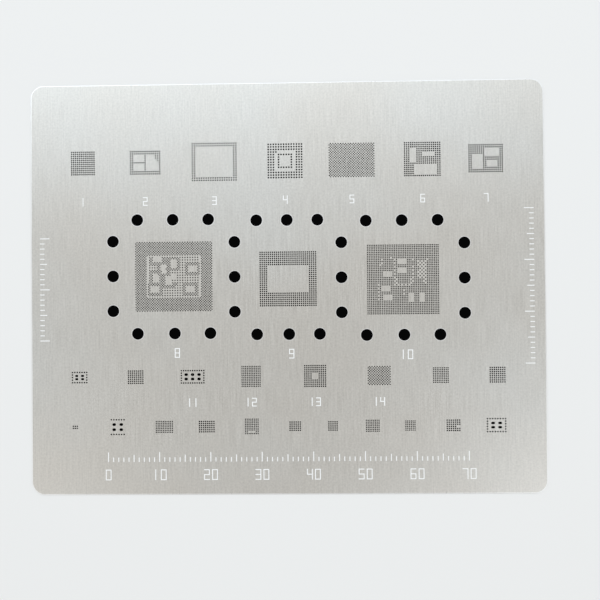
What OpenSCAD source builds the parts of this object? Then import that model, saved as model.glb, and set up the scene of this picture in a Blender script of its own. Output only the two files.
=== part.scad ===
// Solder paste stencil for reballing chips: one flat sheet of stainless steel, laser cut and left
// flat. Each array of apertures matches the pads of one chip. Paste is wiped across the top face
// and stays in the apertures. The sheet lies on its underside at z = 0, with its centre at the origin.

/* [Sheet] */
// Length of the sheet, along X
sheet_length = 100; // [85:1:160]
// Width of the sheet, along Y
sheet_width = 80; // [70:1:130]
// Thickness of the steel, which sets how much paste each aperture holds
sheet_thickness = 0.12; // [0.08:0.01:0.3]
// Radius of the four corners
corner_radius = 2.5; // [0.5:0.1:8]

/* [Break-off scars] */
// Radius of the two small bites where a tab held the sheet in its frame
scar_radius = 0.1; // [0.05:0.01:0.3]
// Distance between the two bites of one tab
scar_gap = 0.6; // [0.3:0.1:2]
// Distance of the upper left tab from the upper edge
upper_scar_inset = 9.3; // [5:0.1:15]
// Distance of the lower left tab from the lower edge
lower_scar_inset = 7.35; // [5:0.05:15]
// How far the tab on the right edge sits below the middle of the sheet
right_scar_drop = 0.6; // [0:0.1:10]

/* [Relief holes] */
// Diameter of the round holes around the three large arrays
relief_diameter = 2.3; // [1:0.1:3.5]
// Height of the upper and lower rows of relief holes above and below the middle of their array
relief_row_height = 11.1; // [10:0.1:13]
// Distance between the relief holes in an upright column
relief_step = 6.8; // [4:0.1:8]
// How far each upright column sits below the one to its left
relief_drop = 0.3; // [0:0.1:1]

/* [Apertures] */
// Diameter of the apertures at the finest pitch
fine_hole = 0.22; // [0.15:0.01:0.26]
// Diameter of the apertures at the medium pitch
medium_hole = 0.26; // [0.15:0.01:0.32]
// Diameter of the apertures at the wide pitch
wide_hole = 0.32; // [0.2:0.01:0.4]
// Diameter of the apertures in the frames round oblong pads
small_hole = 0.3; // [0.2:0.01:0.36]
// Finest pitch, also measured along the diagonal of the staggered arrays
fine_pitch = 0.35; // [0.3:0.01:0.45]
// Medium pitch
medium_pitch = 0.4; // [0.36:0.01:0.5]
// Pitch of the single framed array in the top row
frame_pitch = 0.45; // [0.4:0.01:0.5]
// Pitch along X of the split frame in the top row
split_pitch_x = 0.41; // [0.38:0.01:0.5]
// Pitch along Y of the split frame in the top row
split_pitch_y = 0.44; // [0.38:0.01:0.5]
// Wide pitch
wide_pitch = 0.5; // [0.46:0.01:0.6]
// A field with up to this many places is cut whole, a larger one at every second row and column
whole_field = 120; // [40:10:2000]
// A field with more places than this is cut at every third row and column
dense_field = 1000; // [200:50:2000]

/* [Layout] */
// Distance of the first and last arrays of the top row from the sides
top_row_side = 10.7; // [8:0.1:16]
// Distance of the top row of arrays from the upper edge
top_row_inset = 15.3; // [10:0.1:18]
// Distance of the lower row of arrays from the lower edge
lower_row_inset = 22.8; // [21:0.1:24]
// Distance of the bottom row of arrays from the lower edge
bottom_row_inset = 13.1; // [6:0.1:15]
// Distance of the first and last arrays of the lower row from the sides
lower_row_side = 9.4; // [6:0.1:14]
// Distance of the first and last arrays of the bottom row from the sides
bottom_row_side = 9.1; // [6:0.1:14]
// Height of the large arrays above the middle of the sheet
large_row_rise = 2.36; // [0:0.1:4]

/* [Hidden] */
$fn = 24;
// Half a step of the staggered lattice, whose diagonal is the finest pitch
half_step = fine_pitch / sqrt(2);

// What each array of a row stands off its even place, from left to right
top_nudge = [-0.45, -1.3, -0.85, -0.1, -0.25, 0.35, -0.5];
lower_nudge = [0, -0.6, -1.05, -1.25, -0.4, 0.4, 0.7, 0];
bottom_nudge = [-0.6, -0.45, 0.5, 0.6, 1.2, 1.45, 0.6, 0.1, -0.8, -0.7, -0.6];

// Middles of the four upright columns of relief holes
relief_x = [-33.9, -10.1, 10.7, 34.5];
// Reach of the upper and lower relief holes to either side of the middle of their array
relief_reach = [7.1, 6.1, 7.1];
// How far each large array sits below the middle of its relief holes
large_sag = [0, 0.36, 0.37];
// The middle and right holes of the upper relief rows sit this far to the left
relief_shift = 0.3;

// ---- the ways in which apertures are laid out ----

// True where the place [column, row], counted from the top left, lies in one of the blank blocks,
// each written as [first column, first row, last column, last row]
function blank(c, r, blocks) =
    len([for (b = blocks) if (c >= b[0] && r >= b[1] && c <= b[2] && r <= b[3]) 1]) > 0;

// Every how many rows and columns of a field are cut. The real sheet has them all, and so has
// this one with whole_field at its highest, at the cost of a slow build.
function every(places) = places > dense_field ? 3 : places > whole_field ? 2 : 1;

// A square grid, centred, without its blank blocks
module grid(columns, rows, pitch, hole, blocks = []) {
    n = every(columns * rows);
    for (c = [0 : n : columns - 1], r = [0 : n : rows - 1])
        if (!blank(c, r, blocks)) place(c, r, columns, rows, pitch, pitch) circle(d = hole);
}

// A staggered field: its places are every second crossing of a lattice of half steps
module staggered(columns, rows, blocks = []) {
    n = every(columns * rows / 2);
    for (c = [0 : n : columns - 1], r = [0 : n : rows - 1])
        if ((c / n + r / n) % 2 == 1 && !blank(c, r, blocks))
            place(c, r, columns, rows, half_step, half_step) circle(d = fine_hole);
}

// A frame of apertures, some rows deep, round an open middle
module frame(columns, rows, pitch_x, pitch_y, deep, hole) {
    for (c = [0 : columns - 1], r = [0 : rows - 1])
        if (min(c, r, columns - 1 - c, rows - 1 - r) < deep)
            place(c, r, columns, rows, pitch_x, pitch_y) circle(d = hole);
}

// Oblong pads under the middle of a chip: slots with round ends
module pads(columns, rows, step_x, step_y, length, width) {
    for (c = [0 : columns - 1], r = [0 : rows - 1])
        place(c, r, columns, rows, step_x, step_y) {
            square([length - width, width], center = true);
            for (side = [-1, 1]) translate([side * (length - width) / 2, 0]) circle(d = width);
        }
}

// Moves to a place of a centred array, counted from its top left
module place(c, r, columns, rows, pitch_x, pitch_y) {
    translate([(c - (columns - 1) / 2) * pitch_x, ((rows - 1) / 2 - r) * pitch_y]) children();
}

// ---- the seven arrays of the top row, from the left ----

module top_array(k) {
    if (k == 0) grid(12, 12, medium_pitch, medium_hole);
    if (k == 1) split_frame();
    if (k == 2) frame(20, 17, frame_pitch, frame_pitch, 2, medium_hole);
    if (k == 3) {
        // three rows deep, with one more hole to mark the first ball, round a small inner frame
        frame(14, 14, wide_pitch, wide_pitch, 3, wide_hole);
        frame(6, 6, wide_pitch, wide_pitch, 1, wide_hole);
        place(3, 3, 14, 14, wide_pitch, wide_pitch) circle(d = wide_hole);
    }
    if (k == 4) staggered(36, 27);
    if (k == 5) grid(18, 17, medium_pitch, medium_hole, [[3, 3, 5, 9], [9, 5, 14, 6], [5, 11, 15, 15]]);
    if (k == 6) grid(17, 14, medium_pitch, medium_hole, [[8, 2, 14, 5], [2, 5, 6, 11], [9, 8, 13, 10]]);
}

// Lines of apertures two deep round three open bays, with a step in the upper right corner
module split_frame() {
    bays = [[2, 2, 6, 4], [2, 6, 6, 8], [8, 2, 11, 8], [12, 4, 12, 8], [13, 5, 13, 8]];
    for (c = [0 : 14], r = [0 : 10])
        if (!blank(c, r, bays)) place(c, r, 15, 11, split_pitch_x, split_pitch_y) circle(d = medium_hole);
}

// ---- the three large arrays of the middle, from the left ----

module large_array(k) {
    // a staggered field, with a clear lane round the mixed field inside it
    if (k == 0) staggered(61, 55, [
        [9, 11, 51, 11], [9, 43, 51, 43], [9, 11, 10, 43], [51, 11, 51, 43],
        [14, 12, 20, 15], [22, 18, 24, 24], [28, 14, 31, 20], [26, 27, 30, 33],
        [42, 20, 46, 23], [14, 26, 18, 31], [14, 35, 18, 40], [43, 35, 48, 40]]);
    // a deep frame, taller bands above and below than the sides
    if (k == 1) grid(28, 27, medium_pitch, medium_hole, [[4, 7, 23, 19]]);
    // a full field with blank islands
    if (k == 2) grid(40, 39, fine_pitch, fine_hole, [
        [17, 8, 21, 10], [17, 13, 21, 15], [9, 15, 13, 17], [8, 23, 12, 25],
        [9, 28, 13, 30], [23, 27, 25, 31], [29, 27, 31, 31]]);
}

// ---- the eight arrays of the lower row and the eleven of the bottom row, from the left ----

module lower_array(k) {
    if (k == 0) {
        frame(7, 5, 0.47, 0.5, 1, small_hole);
        pads(2, 2, 1.15, 0.63, 0.63, 0.42);
    }
    if (k == 1) grid(8, 7, medium_pitch, medium_hole);
    if (k == 2) {
        frame(11, 6, 0.44, 0.48, 1, small_hole);
        pads(3, 2, 1.25, 0.86, 0.7, 0.54);
    }
    if (k == 3) grid(11, 12, fine_pitch, fine_hole);
    if (k == 4) grid(11, 11, medium_pitch, medium_hole, [[4, 4, 6, 6]]);
    if (k == 5) staggered(18, 15);
    if (k == 6) grid(9, 9, fine_pitch, fine_hole);
    if (k == 7) grid(8, 8, medium_pitch, medium_hole);
}

module bottom_array(k) {
    if (k == 0) grid(3, 2, medium_pitch, medium_hole);
    if (k == 1) {
        for (side = [-1, 1], c = [0 : 5])
            translate([(c - 2.5) * wide_pitch, side * 1.43]) circle(d = small_hole);
        pads(2, 2, 1.4, 1, 0.7, 0.55);
    }
    if (k == 2) grid(10, 7, fine_pitch, fine_hole);
    if (k == 3) grid(8, 6, medium_pitch, medium_hole);
    if (k == 4) grid(8, 9, fine_pitch, fine_hole, [[2, 7, 5, 7]]);
    if (k == 5) grid(6, 5, medium_pitch, medium_hole);
    if (k == 6) grid(5, 5, medium_pitch, medium_hole);
    if (k == 7) grid(8, 7, fine_pitch, fine_hole);
    if (k == 8) grid(6, 6, fine_pitch, fine_hole);
    if (k == 9) grid(7, 6, medium_pitch, medium_hole, [[5, 3, 6, 3]]);
    if (k == 10) {
        frame(8, 6, wide_pitch, wide_pitch, 1, small_hole);
        pads(2, 2, 1.35, 0.82, 0.75, 0.48);
    }
}

// ---- the sheet ----

// The place of one array in a row that runs from side to side, evenly but for its nudge
function along(k, count, side, nudge) =
    -sheet_length / 2 + side + k * (sheet_length - 2 * side) / (count - 1) + nudge[k];

module outline() {
    inner = [sheet_length - 2 * corner_radius, sheet_width - 2 * corner_radius];
    square([sheet_length, inner[1]], center = true);
    square([inner[0], sheet_width], center = true);
    for (x = [-1, 1], y = [-1, 1]) translate([x * inner[0] / 2, y * inner[1] / 2]) circle(r = corner_radius);
}

// Two small bites in the edge, either side of where a tab was snapped off
module scar(x, y) {
    for (side = [-1, 1]) translate([x, y + side * scar_gap / 2]) circle(r = scar_radius);
}

// Upright columns of three holes between the large arrays, and rows of three above and below each
module relief_holes() {
    for (c = [0 : 3], r = [-1 : 1])
        translate([relief_x[c], large_row_rise + 0.14 - relief_drop * c + r * relief_step])
            circle(d = relief_diameter, $fn = 48);
    for (g = [0 : 2], k = [-1 : 1], up = [-1, 1])
        translate([middle_x(g) + k * relief_reach[g] + (up > 0 ? -1 : 1) * row_shift(k, up),
                   middle_y(g) + up * relief_row_height])
            circle(d = relief_diameter, $fn = 48);
}
function row_shift(k, up) = k == 0 ? relief_shift / 2 : k == 1 && up > 0 ? relief_shift : 0;

// Middle of each large array's ring of relief holes
function middle_x(g) = (relief_x[g] + relief_x[g + 1]) / 2;
function middle_y(g) = large_row_rise - relief_drop * g;

module apertures() {
    for (k = [0 : 6]) translate([along(k, 7, top_row_side, top_nudge), sheet_width / 2 - top_row_inset])
        top_array(k);
    for (k = [0 : 2]) translate([middle_x(k), middle_y(k) - large_sag[k]]) large_array(k);
    for (k = [0 : 7]) translate([along(k, 8, lower_row_side, lower_nudge), lower_row_inset - sheet_width / 2])
        lower_array(k);
    for (k = [0 : 10]) translate([along(k, 11, bottom_row_side, bottom_nudge), bottom_row_inset - sheet_width / 2])
        bottom_array(k);
}

module stencil_sheet() color([0.78, 0.79, 0.8]) linear_extrude(sheet_thickness) difference() {
    outline();
    scar(-sheet_length / 2, sheet_width / 2 - upper_scar_inset);
    scar(-sheet_length / 2, lower_scar_inset - sheet_width / 2);
    scar(sheet_length / 2, -right_scar_drop);
    relief_holes();
    apertures();
}

stencil_sheet();
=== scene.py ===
import math

import bpy
from mathutils import Euler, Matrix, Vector
from mathutils.geometry import delaunay_2d_cdt


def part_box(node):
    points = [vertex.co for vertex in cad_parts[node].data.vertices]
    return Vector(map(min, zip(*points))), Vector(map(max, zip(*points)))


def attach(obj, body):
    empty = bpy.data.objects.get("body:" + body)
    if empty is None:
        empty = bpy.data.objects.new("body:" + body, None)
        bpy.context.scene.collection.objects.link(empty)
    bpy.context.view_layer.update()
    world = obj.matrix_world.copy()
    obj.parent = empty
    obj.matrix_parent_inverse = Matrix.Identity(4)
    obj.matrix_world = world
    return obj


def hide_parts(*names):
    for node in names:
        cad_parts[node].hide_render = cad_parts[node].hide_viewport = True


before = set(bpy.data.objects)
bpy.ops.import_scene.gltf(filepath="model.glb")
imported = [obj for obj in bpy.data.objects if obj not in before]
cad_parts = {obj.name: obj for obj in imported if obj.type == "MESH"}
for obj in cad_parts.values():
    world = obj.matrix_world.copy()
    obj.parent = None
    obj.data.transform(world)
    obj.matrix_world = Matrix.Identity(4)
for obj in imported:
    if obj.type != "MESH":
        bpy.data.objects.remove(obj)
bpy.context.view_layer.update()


# ---- Stencil sheet ----
# One flat sheet of stainless steel, 0.12 mm thick, with a satin rolled finish. A laser cut its outline,
# its apertures and its round relief holes, and three small tabs held it until it was snapped out.
# Each array of apertures matches the pads of one chip. The sheet lies loose on its underside.

MM = 0.001
low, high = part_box("stencil_sheet")
LENGTH = (high.x - low.x) / MM
WIDTH = (high.y - low.y) / MM
CORNER = 2.5
CORNER_STEPS = 16
HIGHLIGHT_WIDTH = 0.13                     # width of the painted highlight along each cut: a brighter band that stands in for light caught by the cut edge

FINE_HOLE, MEDIUM_HOLE, SMALL_HOLE, WIDE_HOLE = 0.25, 0.29, 0.3, 0.33
FINE, MEDIUM, FRAMED, WIDE = 0.35, 0.4, 0.45, 0.5
SPLIT_X, SPLIT_Y = 0.41, 0.44
HALF = FINE / math.sqrt(2)     # half a step of the staggered lattice

apertures, highlight_rings = [], []       # closed loops of (x, y), in millimetres


def circle(x, y, diameter, sides):
    """A round loop whose few sides enclose as much as the true circle does."""
    turn = 2 * math.pi / sides
    radius = diameter / 2 * math.sqrt(turn / math.sin(turn))
    angles = [(i + 0.5) * turn for i in range(sides)]
    return [(x + radius * math.cos(a), y + radius * math.sin(a)) for a in angles]


def inside(c, r, blocks):
    """True where a column and row lie in a block of (first column, first row, last column, last row)."""
    return any(left <= c <= right and top <= r <= bottom for left, top, right, bottom in blocks)


def spots(x, y, columns, rows, step_x, step_y):
    """Column, row and place of each spot of a centred array, counted from its top left."""
    for r in range(rows):
        for c in range(columns):
            yield c, r, x + (c - (columns - 1) / 2) * step_x, y + ((rows - 1) / 2 - r) * step_y


def grid(x, y, columns, rows, step_x, step_y, diameter, sides, keep):
    for c, r, px, py in spots(x, y, columns, rows, step_x, step_y):
        if keep(c, r):
            apertures.append(circle(px, py, diameter, sides))


def medium(x, y, columns, rows, blank=()):
    grid(x, y, columns, rows, MEDIUM, MEDIUM, MEDIUM_HOLE, 8, lambda c, r: not inside(c, r, blank))


def fine(x, y, columns, rows, blank=()):
    grid(x, y, columns, rows, FINE, FINE, FINE_HOLE, 6, lambda c, r: not inside(c, r, blank))


def staggered(x, y, columns, rows, keep=lambda c, r: True):
    grid(x, y, columns, rows, HALF, HALF, FINE_HOLE, 6, lambda c, r: (c + r) % 2 == 1 and keep(c, r))


def row_places(side, nudges):
    """Middles of a row of arrays, evenly spread between the sides, each with its own small nudge."""
    last = len(nudges) - 1
    return [k * (LENGTH - 2 * side) / last + side - LENGTH / 2 + nudge for k, nudge in enumerate(nudges)]


def ring(x, y, columns, rows, step_x, step_y, deep, diameter):
    grid(x, y, columns, rows, step_x, step_y, diameter, 8,
         lambda c, r: min(c, r, columns - 1 - c, rows - 1 - r) < deep)


def pads(x, y, columns, rows, step_x, step_y, length, width):
    """Oblong apertures with round ends."""
    for c, r, px, py in spots(x, y, columns, rows, step_x, step_y):
        apertures.append([(qx + math.copysign((length - width) / 2, qx - px), qy)
                          for qx, qy in circle(px, py, width, 16)])


# The top row of seven arrays, from the left
TOP_Y = WIDTH / 2 - 15.3
TOP_X = row_places(10.7, (-0.45, -1.3, -0.85, -0.1, -0.25, 0.35, -0.5))
medium(TOP_X[0], TOP_Y, 12, 12)
BAYS = [(2, 2, 6, 4), (2, 6, 6, 8), (8, 2, 11, 8), (12, 4, 12, 8), (13, 5, 13, 8)]
grid(TOP_X[1], TOP_Y, 15, 11, SPLIT_X, SPLIT_Y, MEDIUM_HOLE, 8, lambda c, r: not inside(c, r, BAYS))
ring(TOP_X[2], TOP_Y, 20, 17, FRAMED, FRAMED, 2, MEDIUM_HOLE)
ring(TOP_X[3], TOP_Y, 14, 14, WIDE, WIDE, 3, WIDE_HOLE)
ring(TOP_X[3], TOP_Y, 6, 6, WIDE, WIDE, 1, WIDE_HOLE)
apertures.append(circle(TOP_X[3] - 3.5 * WIDE, TOP_Y + 3.5 * WIDE, WIDE_HOLE, 8))
staggered(TOP_X[4], TOP_Y, 36, 27)
medium(TOP_X[5], TOP_Y, 18, 17, [(3, 3, 5, 9), (9, 5, 14, 6), (5, 11, 15, 15)])
medium(TOP_X[6], TOP_Y, 17, 14, [(8, 2, 14, 5), (2, 5, 6, 11), (9, 8, 13, 10)])

# The three large arrays, each in a ring of round relief holes. Each ring sits a little below the last,
# and the second and third arrays hang a little below the middle of theirs.
RELIEF_X = (-33.9, -10.1, 10.7, 34.5)
RELIEF_D, RELIEF_RISE, RELIEF_STEP, RELIEF_DROP = 2.3, 11.1, 6.8, 0.3
LARGE_X = [(RELIEF_X[k] + RELIEF_X[k + 1]) / 2 for k in range(3)]
LARGE_RISE = 2.36
LARGE_Y = [LARGE_RISE - RELIEF_DROP * k for k in range(3)]
LARGE_SAG = (0, 0.36, 0.37)

# The first is staggered. Inside its wide band, past a clear lane, every second row stops being cut
# except in lines around the blank islands.
ISLANDS = [(15, 12, 19, 14), (29, 14, 31, 20), (21, 18, 23, 24), (43, 20, 47, 22), (15, 26, 17, 30),
           (29, 26, 31, 28), (25, 28, 27, 32), (13, 36, 17, 38), (41, 36, 45, 38)]
HOOPS = [(12, 11, 22, 17), (26, 13, 34, 21), (18, 17, 26, 25), (40, 17, 50, 25), (12, 23, 20, 33),
         (10, 33, 20, 41), (38, 33, 48, 41)]
LINES = [(22, 13, 26, 15), (24, 21, 26, 21), (20, 25, 26, 25), (22, 25, 22, 35), (20, 35, 30, 35),
         (30, 33, 32, 33)]


def first_field(c, r):
    if not (9 <= c <= 51 and 11 <= r <= 43):
        return True
    if c in (9, 51) or r in (11, 43):
        return False
    if r % 2 == 0:
        return not inside(c, r, ISLANDS)
    hoops = [hoop for hoop in HOOPS if inside(c, r, [hoop])]
    on_hoop = any(c in (left, right) or r in (top, bottom) for left, top, right, bottom in hoops)
    return on_hoop or inside(c, r, LINES)


staggered(LARGE_X[0], LARGE_Y[0], 61, 55, first_field)
medium(LARGE_X[1], LARGE_Y[1] - LARGE_SAG[1], 28, 27, [(4, 7, 23, 19)])

# The third is a full field with blank islands, single places left out, and a chequered patch
PATCHES = [(17, 8, 21, 10), (17, 13, 21, 15), (9, 15, 13, 17), (8, 23, 12, 25), (9, 28, 13, 30),
           (23, 27, 25, 31), (29, 27, 31, 31)]
GAPS = {(13, 7), (8, 8), (8, 10), (7, 11), (33, 8), (16, 19), (16, 21), (24, 19), (24, 21), (32, 19),
        (31, 20), (32, 21), (20, 25), (20, 27)}
GAPS |= {(15, r) for r in range(8, 23, 2)} | {(25, r) for r in (8, 12, 14, 16, 18, 20)}
GAPS |= {(c, 22) for c in range(17, 24, 2)} | {(6, r) for r in range(22, 31, 2)}
GAPS |= {(c, r) for c in range(28, 33) for r in range(9, 19) if (c + r) % 2 == 1 and (c, r) != (28, 13)}
grid(LARGE_X[2], LARGE_Y[2] - LARGE_SAG[2], 40, 39, FINE, FINE, FINE_HOLE, 6,
     lambda c, r: not inside(c, r, PATCHES) and (c, r) not in GAPS)

# Relief holes: four upright columns of three, and three above and three below each large array
COLUMN_RISE, RELIEF_SHIFT = 0.14, 0.3
relief = [(RELIEF_X[c], LARGE_Y[0] + COLUMN_RISE - RELIEF_DROP * c + r * RELIEF_STEP)
          for c in range(4) for r in (-1, 0, 1)]
for g, reach in enumerate((7.1, 6.1, 7.1)):
    upper_row = (-reach, -RELIEF_SHIFT / 2, reach - RELIEF_SHIFT)
    lower_row = (-reach, RELIEF_SHIFT / 2, reach)
    for up, row in ((1, upper_row), (-1, lower_row)):
        relief += [(LARGE_X[g] + dx, LARGE_Y[g] + up * RELIEF_RISE) for dx in row]
for x, y in relief:
    apertures.append(circle(x, y, RELIEF_D, 48))
    # a ring of painted highlight around each relief hole
    highlight_rings.append(circle(x, y, RELIEF_D + 2 * HIGHLIGHT_WIDTH, 48))

# The lower row of eight arrays
LOW_Y = 22.8 - WIDTH / 2
LOW_X = row_places(9.4, (0, -0.6, -1.05, -1.25, -0.4, 0.4, 0.7, 0))
ring(LOW_X[0], LOW_Y, 7, 5, 0.47, 0.5, 1, SMALL_HOLE)
pads(LOW_X[0], LOW_Y, 2, 2, 1.15, 0.63, 0.63, 0.42)
medium(LOW_X[1], LOW_Y, 8, 7)
ring(LOW_X[2], LOW_Y, 11, 6, 0.44, 0.48, 1, SMALL_HOLE)
pads(LOW_X[2], LOW_Y, 3, 2, 1.25, 0.86, 0.7, 0.54)
fine(LOW_X[3], LOW_Y, 11, 12)
medium(LOW_X[4], LOW_Y, 11, 11, [(4, 4, 6, 6)])
staggered(LOW_X[5], LOW_Y, 18, 15)
fine(LOW_X[6], LOW_Y, 9, 9)
medium(LOW_X[7], LOW_Y, 8, 8)

# The bottom row of eleven arrays
BOTTOM_Y = 13.1 - WIDTH / 2
BOTTOM_X = row_places(9.1, (-0.6, -0.45, 0.5, 0.6, 1.2, 1.45, 0.6, 0.1, -0.8, -0.7, -0.6))
medium(BOTTOM_X[0], BOTTOM_Y, 3, 2)
LINE_GAP = 2.86                # between the upper and the lower line of the second array
for c, r, x, y in spots(BOTTOM_X[1], BOTTOM_Y, 6, 2, WIDE, LINE_GAP):
    apertures.append(circle(x, y, SMALL_HOLE, 8))
pads(BOTTOM_X[1], BOTTOM_Y, 2, 2, 1.4, 1, 0.7, 0.55)
fine(BOTTOM_X[2], BOTTOM_Y, 10, 7)
medium(BOTTOM_X[3], BOTTOM_Y, 8, 6)
fine(BOTTOM_X[4], BOTTOM_Y, 8, 9, [(2, 7, 5, 7)])
medium(BOTTOM_X[5], BOTTOM_Y, 6, 5)
medium(BOTTOM_X[6], BOTTOM_Y, 5, 5)
fine(BOTTOM_X[7], BOTTOM_Y, 8, 7)
fine(BOTTOM_X[8], BOTTOM_Y, 6, 6)
medium(BOTTOM_X[9], BOTTOM_Y, 7, 6, [(5, 3, 6, 3)])
ring(BOTTOM_X[10], BOTTOM_Y, 8, 6, WIDE, WIDE, 1, SMALL_HOLE)
pads(BOTTOM_X[10], BOTTOM_Y, 2, 2, 1.35, 0.82, 0.75, 0.48)

# Marks engraved by the same laser, level with the face: plain numbers for the arrays, and a plain
# scale along the bottom and up both sides
STROKE = 0.17
# Each digit is one or two pen lines through points. A point is a column (0 left, 1 right, 5 between)
# and a row (0 foot, 1 middle, 2 head).
DIGITS = {"0": ["00 10 12 02 00"], "1": ["50 52"], "2": ["02 12 11 01 00 10"],
          "3": ["02 12 10 00", "01 11"], "4": ["02 01 11", "12 10"], "5": ["12 02 01 11 10 00"],
          "6": ["12 02 00 10 11 01"], "7": ["02 12 10"],
          "8": ["00 10 12 02 00", "01 11"], "9": ["11 01 02 12 10 00"]}
marks = []


def stroke(start, end):
    """One straight line of the laser, as a thin oblong that overruns its ends by half its width."""
    start, end = Vector(start), Vector(end)
    along = (end - start).normalized() * STROKE / 2
    across = Vector((-along.y, along.x))
    marks.append([tuple(p) for p in (start - along - across, end + along - across,
                                     end + along + across, start - along + across)])


def number(text, x, y, tall):
    wide, gap = tall * 0.5, tall * 0.32
    left = x - (len(text) * wide + (len(text) - 1) * gap) / 2
    for i, digit in enumerate(text):
        for line in DIGITS[digit]:
            corners = [(left + i * (wide + gap) + (0.5 if p[0] == "5" else int(p[0])) * wide,
                        y + (int(p[1]) / 2 - 0.5) * tall) for p in line.split()]
            for start, end in zip(corners, corners[1:]):
                stroke(start, end)


def tick(k):
    """Length of a scale's line: longest at each ten, shorter at each five and shortest between."""
    return 1.7 if k % 10 == 0 else 1.2 if k % 5 == 0 else 0.7


SMALL_NUMBER, LARGE_NUMBER, SCALE_NUMBER = 1.5, 1.7, 1.9
for k in range(7):
    number(str(k + 1), TOP_X[k], TOP_Y - 7.6, SMALL_NUMBER)
for k in range(3):
    number(str(k + 8), LARGE_X[k] + 0.6, LARGE_Y[k] - 14.9, LARGE_NUMBER)
for k in range(4):
    number(str(k + 11), LOW_X[k + 2], LOW_Y - 5.0, SMALL_NUMBER)
SCALE_X, SCALE_Y, SCALE_LENGTH = -35, -33.6, 70
for k in range(SCALE_LENGTH + 1):
    stroke((SCALE_X + k, SCALE_Y), (SCALE_X + k, SCALE_Y + tick(k)))
for k in range(0, SCALE_LENGTH + 1, 10):
    number(str(k), SCALE_X + k, SCALE_Y - 2.6, SCALE_NUMBER)
for x, y, length, inward in ((-48.2, -10, 20, 1), (47.8, -15, 30, -1)):
    for k in range(length + 1):
        stroke((x, y + k), (x + inward * tick(k), y + k))

# The outline, anticlockwise from the right edge, dips into two small bites at each snapped tab
BITE, BITE_GAP, BITE_STEPS = 0.1, 0.6, 5
TABS = [(1, -0.6), (-1, WIDTH / 2 - 9.3), (-1, 7.35 - WIDTH / 2)]


def bites(side, y):
    angles = [math.pi * i / BITE_STEPS for i in range(BITE_STEPS + 1)]
    loop = []
    for dy in (-BITE_GAP / 2, BITE_GAP / 2):
        loop += [(side * (LENGTH / 2 - BITE * math.sin(a)), side * (dy - BITE * math.cos(a)) + y)
                 for a in angles]
    return loop


outline, inner = [], []
for cx, cy, start in ((1, 1, 0), (-1, 1, 90), (-1, -1, 180), (1, -1, 270)):
    for side, y in TABS:
        if (side, cx, cy) in ((1, 1, 1), (-1, -1, -1)):
            outline += bites(side, y)
    for i in range(CORNER_STEPS + 1):
        a = math.radians(start + 90 * i / CORNER_STEPS)
        middle = (cx * (LENGTH / 2 - CORNER), cy * (WIDTH / 2 - CORNER))
        outline.append((middle[0] + CORNER * math.cos(a), middle[1] + CORNER * math.sin(a)))
        # the inner loop is where the painted highlight band along the outline ends
        inner.append((middle[0] + (CORNER - HIGHLIGHT_WIDTH) * math.cos(a), middle[1] + (CORNER - HIGHLIGHT_WIDTH) * math.sin(a)))

# Flat triangles between all these loops, then the same again underneath, and walls where they end
shapes = [outline, inner] + apertures + highlight_rings + marks
first_highlight_ring, first_mark = 2 + len(apertures), 2 + len(apertures) + len(highlight_rings)
points, edges, loops = [], [], []
for shape in shapes:
    base, size = len(points), len(shape)
    points += [Vector(p) for p in shape]
    loops.append(list(range(base, base + size)))
    edges += [(base + i, base + (i + 1) % size) for i in range(size)]
flat = delaunay_2d_cdt(points, edges, loops, 1, 1e-5, True)
corners, triangles, owners = flat[0], flat[2], flat[5]
STEEL, HIGHLIGHT, MARK = 0, 1, 2
faces, kinds, around = [], [], []
for triangle, owner in zip(triangles, owners):
    if 0 not in owner or any(2 <= i < first_highlight_ring for i in owner):
        continue
    up = list(triangle)
    a, b, c = (corners[i] for i in up)
    if (b - a).cross(c - a) < 0:
        up.reverse()
    faces.append([i + len(corners) for i in up])
    marked = any(i >= first_mark for i in owner)
    # triangles in the band inside the outline and in the rings around the relief holes get the painted
    # highlight
    painted_highlight = 1 not in owner or any(first_highlight_ring <= i < first_mark for i in owner)
    kinds.append(MARK if marked else HIGHLIGHT if painted_highlight else STEEL)
    faces.append(up[::-1])
    kinds.append(STEEL)
    around += [(up[i], up[(i + 1) % 3]) for i in range(3)]
shared = set(around)
for start, end in around:
    if (end, start) not in shared:
        faces.append([start, end, end + len(corners), start + len(corners)])
        # the cut walls carry the painted highlight too
        kinds.append(HIGHLIGHT)
mesh = bpy.data.meshes.new("sheet_with_apertures")
mesh.from_pydata([(p.x * MM, p.y * MM, z) for z in (low.z, high.z) for p in corners], [], faces)
mesh.polygons.foreach_set("material_index", kinds)
mesh.update()
sheet = bpy.data.objects.new("sheet_with_apertures", mesh)
bpy.context.scene.collection.objects.link(sheet)


class Socket:
    """An output of a shader node. Its operators add Math nodes."""

    def __init__(self, tree, out):
        self.tree, self.out = tree, out

    def node(self, kind, settings, sockets, output=0):
        """Adds a node: its settings first, then the values or links of its sockets."""
        made = self.tree.nodes.new(kind)
        for name, value in settings.items():
            setattr(made, name, value)
        for key, value in sockets.items():
            if isinstance(value, Socket):
                self.tree.links.new(value.out, made.inputs[key])
            else:
                made.inputs[key].default_value = value
        return Socket(self.tree, made.outputs[output])

    def maths(self, operation, first, second):
        return self.node("ShaderNodeMath", {"operation": operation}, {0: first, 1: second})

    def __add__(self, other):
        return self.maths("ADD", self, other)

    def __sub__(self, other):
        return self.maths("SUBTRACT", self, other)

    def __rsub__(self, other):
        return self.maths("SUBTRACT", other, self)

    def __mul__(self, other):
        return self.maths("MULTIPLY", self, other)

    __radd__, __rmul__ = __add__, __mul__


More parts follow.
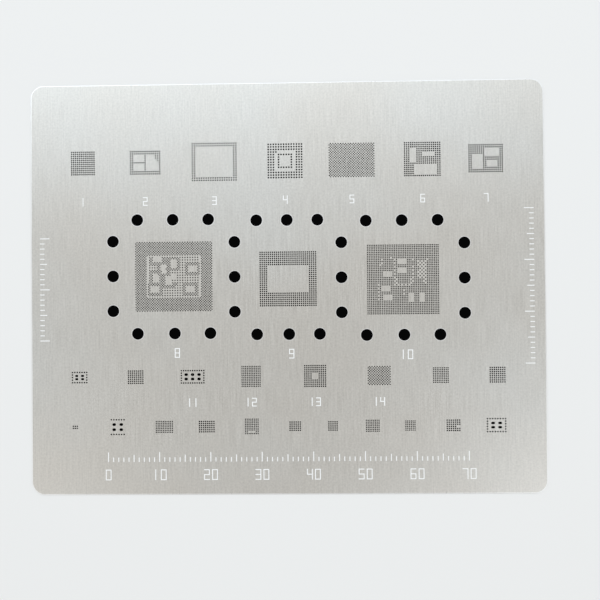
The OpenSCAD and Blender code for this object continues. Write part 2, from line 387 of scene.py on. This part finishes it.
def satin(name, warm, cool, roughness, metallic, unevenness):
    """Rolled steel: fine grain along Y, a speckle, and wide soft clouds between two tints."""
    material = bpy.data.materials.new(name)
    material.use_nodes = True
    surface = material.node_tree.nodes["Principled BSDF"]
    surface.inputs["Metallic"].default_value = metallic
    place = Socket(material.node_tree, None).node("ShaderNodeTexCoord", {}, {}, "Object")
    noise, across = "ShaderNodeTexNoise", {"noise_dimensions": "2D"}
    drawn = place.node("ShaderNodeMapping", {}, {"Vector": place, "Scale": (5200, 160, 1)})
    grain = place.node(noise, across, {"Vector": drawn, "Scale": 1, "Detail": 3, "Roughness": 0.6})
    speckle = place.node(noise, across, {"Vector": place, "Scale": 2600, "Detail": 2})
    cloud = place.node(noise, across, {"Vector": place, "Scale": 26, "Detail": 2})
    tint = place.node("ShaderNodeMix", {"data_type": "RGBA"}, {0: cloud * 1.6 - 0.3, 6: warm, 7: cool}, 2)
    tone = (grain - 0.5) * unevenness + (speckle - 0.5) * unevenness + (cloud - 0.5) * 0.05
    colour = place.node("ShaderNodeHueSaturation", {}, {"Color": tint, "Value": tone + 1})
    height = grain + speckle * 0.7
    bump = place.node("ShaderNodeBump", {}, {"Height": height, "Strength": 0.06, "Distance": 0.00002})
    gloss = (grain - 0.5) * 0.12 + (cloud - 0.5) * 0.05 + roughness
    for source, target in ((colour, "Base Color"), (bump, "Normal"), (gloss, "Roughness")):
        material.node_tree.links.new(source.out, surface.inputs[target])
    return material


steel = satin("satin_stainless", (0.605, 0.572, 0.522, 1), (0.6, 0.592, 0.562, 1), 0.36, 1, 0.24)
# painted highlight: a brighter steel for the bands along the cuts and for the cut walls, standing in for
# light caught by the cut edges
painted_highlight = satin("painted_edge_highlight", (0.84, 0.83, 0.81, 1), (0.86, 0.86, 0.85, 1), 0.3, 1, 0.06)
frosted = satin("frosted_mark", (0.88, 0.88, 0.86, 1), (0.92, 0.92, 0.91, 1), 0.6, 0, 0.08)
for material in (steel, painted_highlight, frosted):
    sheet.data.materials.append(material)
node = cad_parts["stencil_sheet"]
node.data.materials.clear()
node.data.materials.append(steel)
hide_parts("stencil_sheet")
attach(sheet, "root")


# ---- Bench, light and camera ----
# A plain pale bench under the sheet. Between the two lies a thin black plane, a little smaller than the
# sheet:
# painted shade, seen only through the apertures, so that they read dark. Neither belongs to the object.

SHADE_INSET = 1.5


def plane(name, length, width, z, colour):
    """A flat stage piece in one matt colour."""
    flat_mesh = bpy.data.meshes.new(name)
    turns = ((-0.5, -0.5), (0.5, -0.5), (0.5, 0.5), (-0.5, 0.5))
    flat_mesh.from_pydata([(i * length, j * width, z) for i, j in turns], [], [(0, 1, 2, 3)])
    piece = bpy.data.objects.new(name, flat_mesh)
    bpy.context.scene.collection.objects.link(piece)
    material = bpy.data.materials.new(name)
    material.use_nodes = True
    surface = material.node_tree.nodes["Principled BSDF"]
    surface.inputs["Base Color"].default_value = colour
    surface.inputs["Roughness"].default_value = 0.95
    surface.inputs["Specular IOR Level"].default_value = 0
    flat_mesh.materials.append(material)


BENCH_SIZE, BENCH_Z, SHADE_Z = 4, -0.00004, -0.00002
shade_length, shade_width = (LENGTH - 2 * SHADE_INSET) * MM, (WIDTH - 2 * SHADE_INSET) * MM
plane("bench", BENCH_SIZE, BENCH_SIZE, BENCH_Z, (0.83, 0.82, 0.8, 1))
# painted shade: a black plane just under the sheet, smaller than it, seen only through the apertures
plane("painted_shade_under_sheet", shade_length, shade_width, SHADE_Z, (0.002, 0.002, 0.002, 1))

world = bpy.data.worlds.new("studio")
world.use_nodes = True
world.node_tree.nodes["Background"].inputs["Color"].default_value = (1, 0.99, 0.97, 1)
world.node_tree.nodes["Background"].inputs["Strength"].default_value = 0.64
bpy.context.scene.world = world


def softbox(name, place, size, energy, colour):
    data = bpy.data.lights.new(name, "AREA")
    data.shape = "RECTANGLE"
    data.size, data.size_y = size
    data.energy, data.color = energy, colour
    lamp = bpy.data.objects.new(name, data)
    lamp.location = place
    lamp.rotation_euler = (-lamp.location).to_track_quat("-Z", "Y").to_euler()
    bpy.context.scene.collection.objects.link(lamp)


softbox("back_softbox", (-0.04, 0.39, 0.6), (1.0, 0.36), 2.7, (0.78, 0.89, 1))
softbox("right_softbox", (0.29, -0.28, 0.6), (0.25, 0.25), 0.62, (0.85, 0.92, 1))
softbox("left_softbox", (-0.32, -0.26, 0.6), (0.25, 0.3), 0.24, (0.94, 0.97, 1))

camera_data = bpy.data.cameras.new("camera")
camera_data.lens, camera_data.sensor_width, camera_data.clip_start = 60, 36, 0.01
camera = bpy.data.objects.new("camera", camera_data)
camera.location = (0.00847, -0.00551, 0.19427)
camera.rotation_euler = Euler((0.01553, 0.03039, -0.00873), "XYZ")
bpy.context.scene.collection.objects.link(camera)
bpy.context.scene.camera = camera
bpy.context.scene.view_settings.view_transform = "Standard"

bpy.context.view_layer.update()
